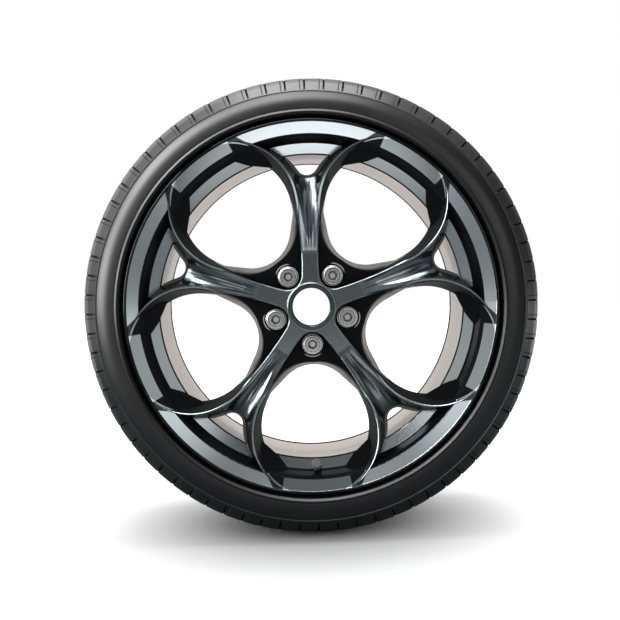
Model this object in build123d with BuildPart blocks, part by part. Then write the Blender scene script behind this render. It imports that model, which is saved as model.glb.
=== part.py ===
"""A 19-inch cast wheel with five round holes, its tyre, its bolts and its tyre valve.

Millimetres. The spin axis is Y, the outer face looks toward -Y, and +Z is up.
The origin lies on the spin axis, halfway between the rim's two flanges.
Depths are measured back from the front of the rim, heights along the valve's own axis.
"""
from math import acos, atan2, cos, degrees, pi, radians, sin, sqrt, tan
import os

from build123d import *

# Rim
bead_seat_diameter = 482.6
rim_width = 215.9
flange_height = 17.5
flange_thickness = 12.3
flange_tip_width = 3.0
lip_face_depth = 1.6
lip_edge_depth = 6.5
lip_edge_drop = 2.8
front_wall = 5.8
front_barrel_depth = 13.5
front_barrel_draft = 4.5
bead_seat_width = 19.8
bead_seat_angle = 5.0
hump_run = 4.0
step_depth = 38.5
step_angle = 20.0
step_wall = 6.5
well_depth = 19.5
well_wall = 5.0
well_width = 36.0
well_ramp = 36.0
barrel_drop = 5.8
barrel_wall = 4.6
rear_lip_depth = 3.0
rear_flare_length = 26.0
rear_flare = 2.0
hump_drop = 3.0
lip_chamfer = 1.0
edge_round = 1.4
fine_round = 0.8
flange_round = 4.0
heel_round = 6.5
seat_round = 2.0
step_round = 2.5
shoulder_round = 6.0
well_round = 12.0
barrel_round = 20.0

# Hub
wheel_offset = 35.0
hub_bore_diameter = 65.1
hub_bore_depth = 25.0
hub_bore_chamfer = 1.5
cap_bore_diameter = 54.0
cap_bore_chamfer = 1.0
hub_ring_diameter = 68.0
hub_ring_height = 2.5
hub_face_depth = 32.5
hub_face_radius = 80.0
hub_face_round = 40.0
web_depth = 55.0
mounting_pad_radius = 74.0
pad_pocket_width = 20.0
pad_pocket_length = 30.0
pad_pocket_depth = 16.0
pad_pocket_round = 7.0

# Spokes and their holes
hole_count = 5
first_hole_angle = -90.0
hole_centre_radius = 175.0
hole_radius = 86.3
hole_draft = 10.0
hole_tilt = 6.2
pocket_centre_radius = 57.0
pocket_radius = 21.5
pocket_side_radius = 400.0
opening_radius = 82.0
opening_end_radius = 57.0
opening_end_centre = 138.5
ridge_width = 3.2
ridge_radius = 198.0
ridge_depth = 4.0
ridge_round = 1.8
ridge_bend = 250.0
arm_tip_depth = 1.2
arm_tip_inset = 1.5
arm_root_sink = 2.0
arm_bend_depth = 40.0
arm_bend_spread = 10.0
arm_back_depth = 54.0
arm_back_spread = 16.5
window_front_round = 35.0
window_bend_round = 22.0
window_back_round = 14.0
spoke_back_depth = 58.0
spoke_back_radius = 150.0
valley_stations = (
    (-57.6, 0.04, 0.05),
    (-33.6, 0.28, 1.2),
    (-9.6, 0.72, 3.4),
    (13.4, 1.0, 7.0),
    (30.4, 1.0, 13.0),
    (46.4, 0.89, 23.0),
    (58.4, 0.80, 34.0),
)
valley_tip_lift = 0.7
valley_headroom = 14.0
relief_start = 92.0
relief_end = 168.0
relief_width = 20.0
relief_depth = 18.0
relief_draft = 5.0
gusset_top_depth = 12.0
gusset_foot_depth = 43.0
gusset_arm_reach = 44.0
gusset_barrel_reach = 25.0
gusset_tip_reach = 3.0
gusset_sink = 1.0
gusset_root = 3.0
cutter_lead = 26.0
cutter_run = 5.0
window_lead = 8.0
window_run = 4.0

# Wheel bolts
bolt_circle_diameter = 108.0
thread_radius = 7.0
thread_length = 26.0
shank_radius = 6.2
bolt_hole_radius = 7.8
spot_face_radius = 17.0
spot_face_depth = 57.0
spot_face_lead = 14.0
taper_top_radius = 13.2
taper_angle = 30.0
collar_radius = 15.2
collar_height = 3.2
collar_bore_radius = 7.3
bolt_head_radius = 13.5
bolt_head_height = 13.5
socket_size = 12.0
socket_depth = 9.0
seat_clearance = 0.15
collar_taper_length = 8.0
bolt_edge_round = 0.6
bolt_head_round = 1.8
bolt_tip_chamfer = 1.5
socket_chamfer = 0.5

# Tyre
tyre_height = 85.75
section_width = 249.2
bead_clearance = 0.2
bead_width = 18.4
bead_toe_round = 1.5
flange_gap = 1.6
protector_radius = 267.2
protector_height = 3.0
protector_relief = 1.5
protector_round = 1.2
bulge_radius = 283.0
bulge_inset = 0.6
bulge_round = 40.0
line_spacing = 2.6
line_inset = 6.2
line_height = 0.5
shoulder_foot_drop = 26.5
shoulder_foot_inset = 10.0
buttress_drop = 15.5
buttress_run = 12.0
sidewall_round = 13.0
crown_thickness = 12.0
crown_drop = 6.5
crown_flat = 70.0
crown_round = 400.0
tread_edge_round = 24.0
shoulder_width = 184.0
wall_thickness = 10.0
liner_drop = 6.0
liner_round = 9.0
groove_count = 72
groove_width = 2.6
groove_depth = 4.5
groove_reach = 10.0
rib_groove_width = 9.0
rib_groove_depth = 6.5
rib_groove_places = (-57.0, -19.0, 19.0, 57.0)

# Valve and pressure sensor
valve_shift = 2.2
valve_hole_radius = 4.85
valve_spot_radius = 7.4
valve_spot_depth = 0.5
stem_radius = 3.85
stem_length = 21.0
stem_chamfer = 0.5
stem_flange_radius = 6.6
stem_flange_height = 2.4
boss_radius = 3.6
boss_length = 6.0
air_way_radius = 1.0
cross_hole_radius = 0.9
core_seat_height = 6.0
core_bore_radius = 2.6
poppet_bore_radius = 2.0
poppet_bore_foot = -2.0
grommet_height = 3.0
grommet_sleeve_end = 1.0
washer_radius = 6.8
washer_height = 1.2
nut_size = 10.5
nut_height = 5.5
cap_radius = 6.6
cap_foot = 8.4
cap_roof = 2.4
cap_room = 0.3
cap_seal_height = 1.8
cap_round = 1.0
flute_count = 18
flute_radius = 0.6
flute_depth = 0.35
core_length = 11.8
core_seal_height = 1.5
core_seal_bore_radius = 1.3
core_air_radius = 1.15
pin_radius = 0.7
pin_guide_clearance = 0.05
pin_guide_length = 4.5
pin_tip_height = 0.8
poppet_radius = 1.7
poppet_height = 1.0
spring_wire_radius = 0.25
spring_turns = 6
sensor_length = 46.0
sensor_width = 16.0
sensor_thickness = 15.0
sensor_shift = 2.6
sensor_round = 3.0
sensor_edge_round = 1.5
screw_radius = 1.6
screw_head_radius = 3.2
screw_head_height = 2.2
screw_grip = 4.8
screw_room = 0.2
screw_socket_size = 3.0
screw_socket_depth = 1.4
rest_gap = 0.05

# Frame
seat_radius = bead_seat_diameter / 2
flange_radius = seat_radius + flange_height
half_rim = rim_width / 2
half_overall = half_rim + flange_thickness
mounting_depth = half_overall - wheel_offset
hub_ring_depth = hub_face_depth - hub_ring_height
hole_angles = [first_hole_angle + i * 360 / hole_count for i in range(hole_count)]
spoke_angles = [angle + 180 / hole_count for angle in hole_angles]


def behind(depth):
    """The y of a plane this far behind the front of the rim."""
    return depth - half_overall


def turned(piece, angle):
    """The piece turned about the spin axis, counter-clockwise as seen from the front."""
    return piece.rotate(Axis.Y, -angle)


def each_turned(piece, angles):
    """Copies of the piece at these angles about the spin axis."""
    return [turned(piece, angle) for angle in angles]


# Rim: flanges, bead seats, humps, well and barrel in one revolved section
front_barrel_radius = seat_radius - front_wall
step_top_radius = front_barrel_radius - (step_depth - front_barrel_depth) * tan(radians(front_barrel_draft))
well_outer_radius = seat_radius - well_depth
well_inner_radius = well_outer_radius - well_wall
barrel_outer_radius = seat_radius - barrel_drop
barrel_inner_radius = barrel_outer_radius - barrel_wall
seat_end_radius = seat_radius - bead_seat_width * tan(radians(bead_seat_angle))


def step_face_depth(radius):
    """Depth of the step's front face, which leans back toward the well."""
    return step_depth + (step_top_radius - radius) * tan(radians(step_angle))


def step_back_depth(radius):
    """Depth of the tyre side of the step, a wall's thickness behind its face."""
    return step_face_depth(radius) + step_wall / cos(radians(step_angle))


well_start_depth = step_back_depth(well_outer_radius)
well_end_depth = well_start_depth + well_width
ramp_end_depth = well_end_depth + well_ramp
hump_foot_radius = seat_radius - hump_drop
lip_inner_radius = flange_radius - flange_tip_width
rim_corners = [
    ((flange_radius, behind(0)), edge_round),
    ((flange_radius, -half_rim), flange_round),
    ((seat_radius, -half_rim), heel_round),
    ((seat_end_radius, -half_rim + bead_seat_width), seat_round),
    ((seat_radius, -half_rim + bead_seat_width + hump_run), seat_round),
    ((hump_foot_radius, behind(step_back_depth(hump_foot_radius))), step_round),
    ((well_outer_radius, behind(well_start_depth)), step_round),
    ((well_outer_radius, behind(well_end_depth)), well_round),
    ((barrel_outer_radius, behind(ramp_end_depth)), barrel_round),
    ((barrel_outer_radius, half_rim - bead_seat_width - 3 * hump_run), shoulder_round),
    ((seat_radius, half_rim - bead_seat_width - hump_run), seat_round),
    ((seat_end_radius, half_rim - bead_seat_width), seat_round),
    ((seat_radius, half_rim), heel_round),
    ((flange_radius, half_rim), flange_round),
    ((flange_radius, half_overall), edge_round),
    ((lip_inner_radius, half_overall), fine_round),
    ((seat_radius, half_overall - rear_lip_depth), step_round),
    ((barrel_inner_radius + rear_flare, half_rim), flange_round),
    ((barrel_inner_radius, half_rim - rear_flare_length), barrel_round),
    ((barrel_inner_radius, behind(ramp_end_depth)), barrel_round),
    ((well_inner_radius, behind(well_end_depth)), well_round),
    ((well_inner_radius, behind(step_face_depth(well_inner_radius))), step_round),
    ((step_top_radius, behind(step_depth)), step_round),
    ((front_barrel_radius, behind(front_barrel_depth)), shoulder_round),
    ((seat_radius - lip_edge_drop, behind(lip_edge_depth)), edge_round),
    ((lip_inner_radius - lip_chamfer, behind(lip_face_depth)), fine_round),
    ((lip_inner_radius, behind(0)), fine_round),
]
with BuildPart() as rim:
    with BuildSketch(Plane.XY):
        with BuildLine():
            FilletPolyline(*[p for p, r in rim_corners], radius=[r for p, r in rim_corners], close=True)
        make_face()
    revolve(axis=Axis.Y)

# Hole cutter: a big circle drawn out toward the hub around the bolt, on the +X side.
# Its axis leans, so that the hole draws closer to the hub toward the back.
tilt = radians(hole_tilt)
hole_plane = Plane(
    (hole_centre_radius, behind(ridge_depth), 0),
    x_dir=(cos(tilt), sin(tilt), 0),
    z_dir=(sin(tilt), -cos(tilt), 0),
)
pocket_place = hole_plane.to_local_coords(Vector(pocket_centre_radius, behind(hub_face_depth), 0))
pocket_along = pocket_place.X
pocket_grown = pocket_radius - pocket_place.Z * tan(radians(hole_draft))
hole_reach = pocket_side_radius - hole_radius
pocket_reach = pocket_side_radius - pocket_grown
side_along = pocket_along / 2 + (hole_reach**2 - pocket_reach**2) / (2 * pocket_along)
side_across = sqrt(hole_reach**2 - side_along**2)
hole_turn = degrees(atan2(side_across, -side_along))
pocket_turn = degrees(atan2(side_across, pocket_along - side_along))
with BuildPart() as hole_cutter:
    with BuildSketch(hole_plane.offset(cutter_lead)):
        with BuildLine():
            grow = cutter_lead * tan(radians(hole_draft))
            side = pocket_side_radius + grow
            sweep_angle = pocket_turn - hole_turn
            CenterArc((0, 0), hole_radius + grow, -hole_turn, 2 * hole_turn)
            CenterArc((side_along, -side_across), side, hole_turn, sweep_angle)
            CenterArc((pocket_along, 0), pocket_grown + grow, pocket_turn, 360 - 2 * pocket_turn)
            CenterArc((side_along, side_across), side, -pocket_turn, sweep_angle)
        make_face()
    extrude(amount=-(cutter_lead + mounting_depth + 4 * cutter_run), taper=hole_draft)

# Opening cutter: the egg-shaped way through the web between two spokes
with BuildPart() as opening_cutter:
    with BuildSketch(Plane.XZ.offset(-behind(web_depth - cutter_lead))):
        grow = cutter_lead * tan(radians(hole_draft))
        with Locations((hole_centre_radius, 0)):
            Circle(opening_radius + grow)
        with Locations((opening_end_centre, 0)):
            Circle(opening_end_radius + grow)
        make_hull()
    extrude(amount=-(cutter_lead + mounting_depth - web_depth + cutter_run), taper=hole_draft)

# Spoke disc: a dished face turned in one piece, then the five holes with rounded ridges
arm_tip_radius = lip_inner_radius - arm_tip_inset
arm_root_radius = seat_radius - front_wall / 2
step_middle = step_wall / 2
disc_corners = [
    ((0, behind(hub_ring_depth)), 0),
    ((hub_ring_diameter / 2, behind(hub_ring_depth)), fine_round),
    ((hub_ring_diameter / 2 + fine_round, behind(hub_face_depth)), fine_round),
    ((hub_face_radius, behind(hub_face_depth)), hub_face_round),
    ((ridge_radius, behind(ridge_depth)), ridge_bend),
    ((arm_tip_radius, behind(arm_tip_depth)), 0),
    ((arm_tip_radius, behind(lip_edge_depth + arm_root_sink)), 0),
    ((arm_root_radius, behind(front_barrel_depth)), 0),
    ((arm_root_radius, behind(step_depth - 2 * arm_root_sink)), 0),
    ((step_top_radius, behind(step_depth + step_middle)), 0),
    ((well_inner_radius + well_wall / 2, behind(step_face_depth(well_inner_radius) + step_middle)), 0),
    ((well_inner_radius - arm_root_sink, behind(arm_back_depth - 2 * arm_root_sink)), 0),
    ((spoke_back_radius, behind(spoke_back_depth)), 0),
    ((mounting_pad_radius, behind(mounting_depth)), 0),
    ((0, behind(mounting_depth)), 0),
]


def face_depth(radius):
    """Depth of the spokes' front face at this distance from the spin axis, its bends left sharp."""
    if radius < hub_face_radius:
        return hub_face_depth
    if radius < ridge_radius:
        share = (radius - hub_face_radius) / (ridge_radius - hub_face_radius)
        return hub_face_depth + share * (ridge_depth - hub_face_depth)
    share = (radius - ridge_radius) / (arm_tip_radius - ridge_radius)
    return ridge_depth + share * (arm_tip_depth - ridge_depth)


def is_ridge(edge, cutters):
    """Whether the edge lies on the front face and on the wall that one of the cutters left."""
    middle = edge @ 0.5
    off_face = middle.Y - behind(face_depth(sqrt(middle.X**2 + middle.Z**2)))
    return abs(off_face) < 2.5 and any(cutter.distance_to(Vertex(middle)) < 0.01 for cutter in cutters)


hole_cutters = each_turned(hole_cutter.part, hole_angles)
with BuildPart() as spokes:
    with BuildSketch(Plane.XY):
        with BuildLine():
            FilletPolyline(*[p for p, r in disc_corners], radius=[r for p, r in disc_corners], close=True)
        make_face()
    revolve(axis=Axis.Y)
    add(hole_cutters, mode=Mode.SUBTRACT)
    fillet([edge for edge in spokes.edges() if is_ridge(edge, hole_cutters)], ridge_round)

# Valley cutter: the hollow that opens between a spoke's two ridges, on the +X side.
# Each station gives the distance past the hole's centre, the share of the space between
# the ridges that the hollow takes up, and its depth.
arm_along = hole_centre_radius * cos(pi / hole_count)
arm_across = hole_centre_radius * sin(pi / hole_count)
arm_radius = hole_radius + ridge_width
with BuildPart() as valley_cutter:
    for past, share, drop in valley_stations:
        along = arm_along + past
        half = share * (arm_across - sqrt(arm_radius**2 - past**2))
        lift = valley_tip_lift if drop < valley_tip_lift else 0
        section = Plane((along, behind(face_depth(along)), 0), x_dir=(0, 0, 1), z_dir=(1, 0, 0))
        with BuildSketch(section):
            with BuildLine():
                Polyline((-half, lift), (-half, valley_headroom), (half, valley_headroom), (half, lift))
                ThreePointArc((half, lift), (0, lift - drop), (-half, lift))
            make_face()
    loft()

# Window cutter: the three-cornered gap between two arms and the rim, narrower toward the back
window_slope = (arm_back_spread - arm_bend_spread) / (arm_back_depth - arm_bend_depth)
window_close = (window_bend_round - window_back_round) / (arm_back_depth - arm_bend_depth)
window_sections = [
    (arm_tip_depth - window_lead, -window_lead * arm_bend_spread / arm_bend_depth, window_front_round),
    (arm_bend_depth, arm_bend_spread, window_bend_round),
    (
        arm_back_depth + window_run,
        arm_back_spread + window_run * window_slope,
        window_back_round - window_run * window_close,
    ),
]
with BuildPart() as window_cutter:
    for depth, spread, apex in window_sections:
        arm = arm_radius + spread
        apex_along = arm_along + sqrt((arm + apex) ** 2 - arm_across**2)
        meet = (flange_radius**2 + hole_centre_radius**2 - arm**2) / (2 * hole_centre_radius * flange_radius)
        half_turn = 180 / hole_count - degrees(acos(meet))
        corner_along = flange_radius * cos(radians(half_turn))
        corner_across = flange_radius * sin(radians(half_turn))
        start = degrees(atan2(-arm_across, apex_along - arm_along))
        end = degrees(atan2(corner_across - arm_across, corner_along - arm_along))
        with BuildSketch(Plane.XZ.offset(-behind(depth))):
            with BuildLine():
                CenterArc((arm_along, arm_across), arm, start, end - start)
                CenterArc((0, 0), flange_radius, half_turn, -2 * half_turn)
                CenterArc((arm_along, -arm_across), arm, -end, end - start)
                CenterArc((apex_along, 0), apex, 180 + start, -2 * start)
            make_face()
    loft(ruled=True)

# Gusset: the web in the corner between an arm's inner wall and the rim, on the +Z side of the +X hole.
# Each section gives its depth, its reach along the arm and along the rim, and how far it sinks into them.
gusset_sections = [
    (gusset_top_depth, gusset_tip_reach, gusset_tip_reach, gusset_root),
    (gusset_foot_depth, gusset_arm_reach, gusset_barrel_reach, gusset_sink),
]
with BuildPart() as gusset:
    for depth, arm_reach, barrel_reach, sink in gusset_sections:
        run = depth - ridge_depth
        centre = hole_centre_radius - run * tan(tilt)
        wall = hole_radius - run * tan(radians(hole_draft)) + sink
        barrel = front_barrel_radius - (depth - front_barrel_depth) * tan(radians(front_barrel_draft)) + sink
        corner_turn = acos((barrel**2 + centre**2 - wall**2) / (2 * barrel * centre))
        wall_turn = atan2(barrel * sin(corner_turn), barrel * cos(corner_turn) - centre)
        arm_turn = wall_turn + arm_reach / wall
        barrel_turn = corner_turn - barrel_reach / barrel
        arm_root = wall + gusset_root
        barrel_root = barrel + gusset_root
        with BuildSketch(Plane.XZ.offset(-behind(depth))):
            Polygon(
                (barrel * cos(barrel_turn), barrel * sin(barrel_turn)),
                (centre + wall * cos(arm_turn), wall * sin(arm_turn)),
                (centre + arm_root * cos(arm_turn), arm_root * sin(arm_turn)),
                (centre + arm_root * cos(wall_turn), arm_root * sin(wall_turn)),
                (barrel_root * cos(barrel_turn), barrel_root * sin(barrel_turn)),
                align=None,
            )
    loft(ruled=True)

# Relief cutter: the hollow in the back of each spoke
relief_floor = spoke_back_depth - relief_depth
with BuildPart() as relief_cutter:
    with BuildSketch(Plane.XZ.offset(-behind(relief_floor))):
        with Locations(((relief_start + relief_end) / 2, 0)):
            SlotOverall(relief_end - relief_start, relief_width)
    extrude(amount=-(mounting_depth + cutter_run - relief_floor), taper=-relief_draft)

# Pad pocket cutter: lightens the mounting pad between two bolts
with BuildPart() as pad_pocket_cutter:
    with BuildSketch(Plane.XZ.offset(-behind(mounting_depth - pad_pocket_depth))):
        with Locations((bolt_circle_diameter / 2, 0)):
            RectangleRounded(pad_pocket_length, pad_pocket_width, pad_pocket_round)
    extrude(amount=-(pad_pocket_depth + cutter_run))

# Bolt seat cutter: spot face, taper and clearance hole, on the spin axis
taper_depth = (taper_top_radius - bolt_hole_radius) / tan(radians(taper_angle))
with BuildPart() as bolt_seat_cutter:
    with BuildSketch(Plane.XY):
        with BuildLine():
            Polyline(
                (0, behind(spot_face_depth - spot_face_lead)),
                (spot_face_radius, behind(spot_face_depth - spot_face_lead)),
                (spot_face_radius, behind(spot_face_depth)),
                (taper_top_radius, behind(spot_face_depth)),
                (bolt_hole_radius, behind(spot_face_depth + taper_depth)),
                (bolt_hole_radius, behind(mounting_depth + cutter_run)),
                (0, behind(mounting_depth + cutter_run)),
                close=True,
            )
        make_face()
    revolve(axis=Axis.Y)
bolt_place = Location((bolt_circle_diameter / 2, 0, 0))

# Bore cutter: the cap's bore in front, the wider hub bore behind it, both with chamfered mouths
cap_bore_radius = cap_bore_diameter / 2
hub_bore_radius = hub_bore_diameter / 2
hub_bore_floor = mounting_depth - hub_bore_depth
with BuildPart() as bore_cutter:
    with BuildSketch(Plane.XY):
        Polygon(
            (0, behind(hub_ring_depth)),
            (cap_bore_radius + cap_bore_chamfer, behind(hub_ring_depth)),
            (cap_bore_radius, behind(hub_ring_depth + cap_bore_chamfer)),
            (cap_bore_radius, behind(hub_bore_floor)),
            (hub_bore_radius, behind(hub_bore_floor)),
            (hub_bore_radius, behind(mounting_depth - hub_bore_chamfer)),
            (hub_bore_radius + hub_bore_chamfer, behind(mounting_depth)),
            (0, behind(mounting_depth)),
            align=None,
        )
    revolve(axis=Axis.Y)

# Hub web: the plate between the spokes that the bolts clamp
opening_cutters = each_turned(opening_cutter.part, hole_angles)
with BuildPart() as web:
    with BuildSketch(Plane.XY):
        with BuildLine():
            Polyline(
                (0, behind(web_depth)),
                (spoke_back_radius, behind(web_depth)),
                (spoke_back_radius, behind(spoke_back_depth)),
                (mounting_pad_radius, behind(mounting_depth)),
                (0, behind(mounting_depth)),
                close=True,
            )
        make_face()
    revolve(axis=Axis.Y)
    add(opening_cutters, mode=Mode.SUBTRACT)

# Valve frame: on the step at the first hole, its axis square to the step's face
valve_radius = (step_top_radius + well_inner_radius) / 2 + valve_shift
valve_out = Vector(cos(radians(first_hole_angle)), 0, sin(radians(first_hole_angle)))
valve_origin = valve_out * valve_radius + Vector(0, behind(step_face_depth(valve_radius)), 0)
valve_axis_dir = Vector(0, -cos(radians(step_angle)), 0) - valve_out * sin(radians(step_angle))
valve_side_dir = valve_axis_dir.cross(valve_out).normalized()
valve_plane = Plane(valve_origin, x_dir=valve_side_dir, z_dir=valve_axis_dir)
valve_section = Plane(valve_origin, x_dir=valve_side_dir, z_dir=valve_side_dir.cross(valve_axis_dir))
valve_axis = Axis(valve_origin, valve_axis_dir)
wall_front = -valve_spot_depth
wall_back = valve_spot_depth - step_wall

# Wheel: rim, spokes and hub are one casting
with BuildPart() as alloy_wheel:
    add(spokes.part)
    add(each_turned(valley_cutter.part, spoke_angles), mode=Mode.SUBTRACT)
    add(each_turned(window_cutter.part, spoke_angles), mode=Mode.SUBTRACT)
    add(web.part)
    add(each_turned(relief_cutter.part, spoke_angles), mode=Mode.SUBTRACT)
    add(each_turned(pad_pocket_cutter.part, spoke_angles), mode=Mode.SUBTRACT)
    add(each_turned(bolt_seat_cutter.part.moved(bolt_place), hole_angles), mode=Mode.SUBTRACT)
    add(bore_cutter.part, mode=Mode.SUBTRACT)
    add(rim.part)
    add(each_turned(gusset.part, hole_angles))
    add(each_turned(gusset.part.mirror(Plane.XY), hole_angles))
    with BuildSketch(valve_plane.offset(-2 * step_wall)):
        Circle(valve_hole_radius)
    extrude(amount=4 * step_wall, mode=Mode.SUBTRACT)
    with BuildSketch(valve_plane.offset(wall_front)):
        Circle(valve_spot_radius)
    extrude(amount=stem_length, mode=Mode.SUBTRACT)
    with BuildSketch(valve_plane.offset(wall_back)):
        Circle(valve_spot_radius)
    extrude(amount=-step_wall, mode=Mode.SUBTRACT)

# Bolt collar: a loose ring whose taper seats in the wheel
collar_top_depth = spot_face_depth - collar_height
taper_slope = tan(radians(taper_angle))
collar_taper_radius = taper_top_radius - seat_clearance / cos(radians(taper_angle))
collar_foot_radius = collar_taper_radius - collar_taper_length * taper_slope
collar_foot_depth = spot_face_depth + collar_taper_length
with BuildPart() as bolt_collar:
    with BuildSketch(Plane.XY):
        with BuildLine():
            Polyline(
                (collar_bore_radius, behind(collar_top_depth)),
                (collar_radius, behind(collar_top_depth)),
                (collar_radius, behind(spot_face_depth - seat_clearance)),
                (collar_taper_radius, behind(spot_face_depth - seat_clearance)),
                (collar_taper_radius, behind(spot_face_depth)),
                (collar_foot_radius, behind(collar_foot_depth)),
                (collar_bore_radius, behind(collar_foot_depth)),
                close=True,
            )
        make_face()
    revolve(axis=Axis.Y)
    collar_rim = bolt_collar.edges().filter_by(GeomType.CIRCLE).group_by(Axis.Y)[0].sort_by(SortBy.RADIUS)[-1]
    fillet(collar_rim, bolt_edge_round)

# Wheel bolt: a round head with a hexagon socket, a slim shank and the thread behind the hub face
head_top_depth = collar_top_depth - bolt_head_height
bolt_end_depth = mounting_depth + thread_length
with BuildPart() as wheel_bolt:
    with BuildSketch(Plane.XY):
        with BuildLine():
            Polyline(
                (0, behind(head_top_depth)),
                (bolt_head_radius, behind(head_top_depth)),
                (bolt_head_radius, behind(collar_top_depth)),
                (shank_radius, behind(collar_top_depth)),
                (shank_radius, behind(mounting_depth)),
                (thread_radius, behind(mounting_depth)),
                (thread_radius, behind(bolt_end_depth - bolt_tip_chamfer)),
                (thread_radius - bolt_tip_chamfer, behind(bolt_end_depth)),
                (0, behind(bolt_end_depth)),
                close=True,
            )
        make_face()
    revolve(axis=Axis.Y)
    head_rim = wheel_bolt.edges().filter_by(GeomType.CIRCLE).group_by(Axis.Y)[0]
    fillet(head_rim, bolt_head_round)
    with BuildSketch(Plane.XZ.offset(-behind(head_top_depth))):
        RegularPolygon(socket_size / 2, 6, major_radius=False)
    extrude(amount=-socket_depth, mode=Mode.SUBTRACT)
    socket_rim = wheel_bolt.edges().filter_by(GeomType.LINE).group_by(Axis.Y)[0]
    chamfer(socket_rim, socket_chamfer)

# Tyre section: from the bead toe over the flange, sidewall and shoulder to the crown, front half.
# Each corner is a radius from the spin axis, a place along it and the rounding there.
tyre_radius = seat_radius + tyre_height
half_section = section_width / 2
bead_face = -half_rim + bead_clearance
toe_radius = seat_radius - bead_width * tan(radians(bead_seat_angle)) + bead_clearance
shoulder_radius = tyre_radius - crown_drop
shoulder_place = -shoulder_width / 2
shoulder_foot_radius = tyre_radius - shoulder_foot_drop
shoulder_foot_place = -half_section + shoulder_foot_inset
buttress_radius = tyre_radius - buttress_drop
buttress_place = shoulder_place - buttress_run
line_radius = shoulder_foot_radius - line_spacing
outer_corners = [
    ((toe_radius, -half_rim + bead_width), bead_toe_round),
    ((seat_radius + bead_clearance, bead_face), heel_round),
    ((flange_radius + flange_gap, bead_face), flange_gap),
    ((protector_radius - protector_height, -half_section + protector_height), protector_round),
    ((protector_radius, -half_section), protector_round),
    ((protector_radius + protector_height, -half_section + protector_relief), protector_round),
    ((bulge_radius, -half_section + bulge_inset), bulge_round),
    ((line_radius - line_spacing, -half_section + bulge_inset + line_inset), 0),
    ((line_radius - line_spacing / 2, -half_section + bulge_inset + line_inset - line_height), 0),
    ((line_radius, -half_section + bulge_inset + line_inset + line_height), 0),
    ((shoulder_foot_radius, shoulder_foot_place), sidewall_round),
    ((buttress_radius, buttress_place), sidewall_round),
    ((shoulder_radius, shoulder_place), tread_edge_round),
    ((tyre_radius, -crown_flat / 2), crown_round),
]
liner_radius = tyre_radius - crown_thickness
inner_corners = [
    ((flange_radius - liner_drop, -half_rim + bead_width), liner_round),
    ((bulge_radius - liner_drop, -half_section + wall_thickness + liner_drop / 2), liner_round),
    ((bulge_radius + liner_drop, -half_section + wall_thickness + bulge_inset), liner_round),
    ((shoulder_foot_radius + liner_drop / 2, shoulder_foot_place + wall_thickness), liner_round),
    ((liner_radius, shoulder_place + wall_thickness), liner_round),
]


def mirrored(corners):
    """The same corners on the other side of the wheel's middle plane."""
    return [((radius, -place), bend) for (radius, place), bend in corners]


tyre_corners = outer_corners + mirrored(outer_corners)[::-1] + mirrored(inner_corners) + inner_corners[::-1]

# Shoulder groove cutter: one crosswise groove of the tread, on the front shoulder at +X
groove_end = shoulder_place + groove_reach
outside = tyre_radius + groove_depth
with BuildPart() as groove_cutter:
    with BuildSketch(Plane.XY):
        with BuildLine():
            Polyline(
                (shoulder_foot_radius, shoulder_foot_place),
                (buttress_radius - groove_depth, buttress_place + groove_depth / 2),
                (shoulder_radius - groove_depth, shoulder_place),
                (shoulder_radius - groove_depth, groove_end),
                (outside, groove_end),
                (outside, -half_section),
                (shoulder_foot_radius, -half_section),
                close=True,
            )
        make_face()
    extrude(amount=groove_width / 2, both=True)
groove_angles = [i * 360 / groove_count for i in range(groove_count)]

# Tyre: one moulding, with rib grooves round the tread and short grooves across both shoulders
with BuildPart() as tyre:
    with BuildSketch(Plane.XY):
        with BuildLine():
            FilletPolyline(*[p for p, r in tyre_corners], radius=[r for p, r in tyre_corners], close=True)
        make_face()
        with Locations([(tyre_radius, place) for place in rib_groove_places]):
            Rectangle(2 * rib_groove_depth, rib_groove_width, mode=Mode.SUBTRACT)
    revolve(axis=Axis.Y)
    add(each_turned(groove_cutter.part, groove_angles), mode=Mode.SUBTRACT)
    add(each_turned(groove_cutter.part.mirror(Plane.XZ), groove_angles), mode=Mode.SUBTRACT)

# Valve heights, measured outward from the face of the step along the valve's axis
grommet_foot = wall_back - grommet_height
flange_foot = grommet_foot - stem_flange_height
boss_foot = flange_foot - boss_length
washer_top = wall_front + washer_height
sensor_back = flange_foot - sensor_width
cap_seal_foot = stem_length + rest_gap
cap_ceiling = cap_seal_foot + cap_seal_height + rest_gap
cap_top = cap_ceiling + cap_roof
core_foot = core_seat_height + core_seal_height + 2 * rest_gap
core_top = core_foot + core_length
pin_tip = core_top + pin_tip_height
poppet_foot = core_seat_height - poppet_height

# Valve grommet: the rubber seal behind the step, with a sleeve in the valve hole
sleeve_inner = stem_radius + rest_gap
sleeve_outer = valve_hole_radius - rest_gap
with BuildPart() as valve_grommet:
    with BuildSketch(valve_section):
        Polygon(
            (sleeve_inner, grommet_foot),
            (stem_flange_radius, grommet_foot),
            (stem_flange_radius, wall_back),
            (sleeve_outer, wall_back),
            (sleeve_outer, wall_front - grommet_sleeve_end),
            (sleeve_inner, wall_front - grommet_sleeve_end),
            align=None,
        )
    revolve(axis=valve_axis)

# Valve washer
with BuildPart() as valve_washer:
    with BuildSketch(valve_plane.offset(wall_front)):
        Circle(washer_radius)
        Circle(sleeve_inner, mode=Mode.SUBTRACT)
    extrude(amount=washer_height)

# Valve nut
with BuildPart() as valve_nut:
    with BuildSketch(valve_plane.offset(washer_top)):
        RegularPolygon(nut_size / 2, 6, major_radius=False)
        Circle(sleeve_inner, mode=Mode.SUBTRACT)
    extrude(amount=nut_height)

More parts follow.
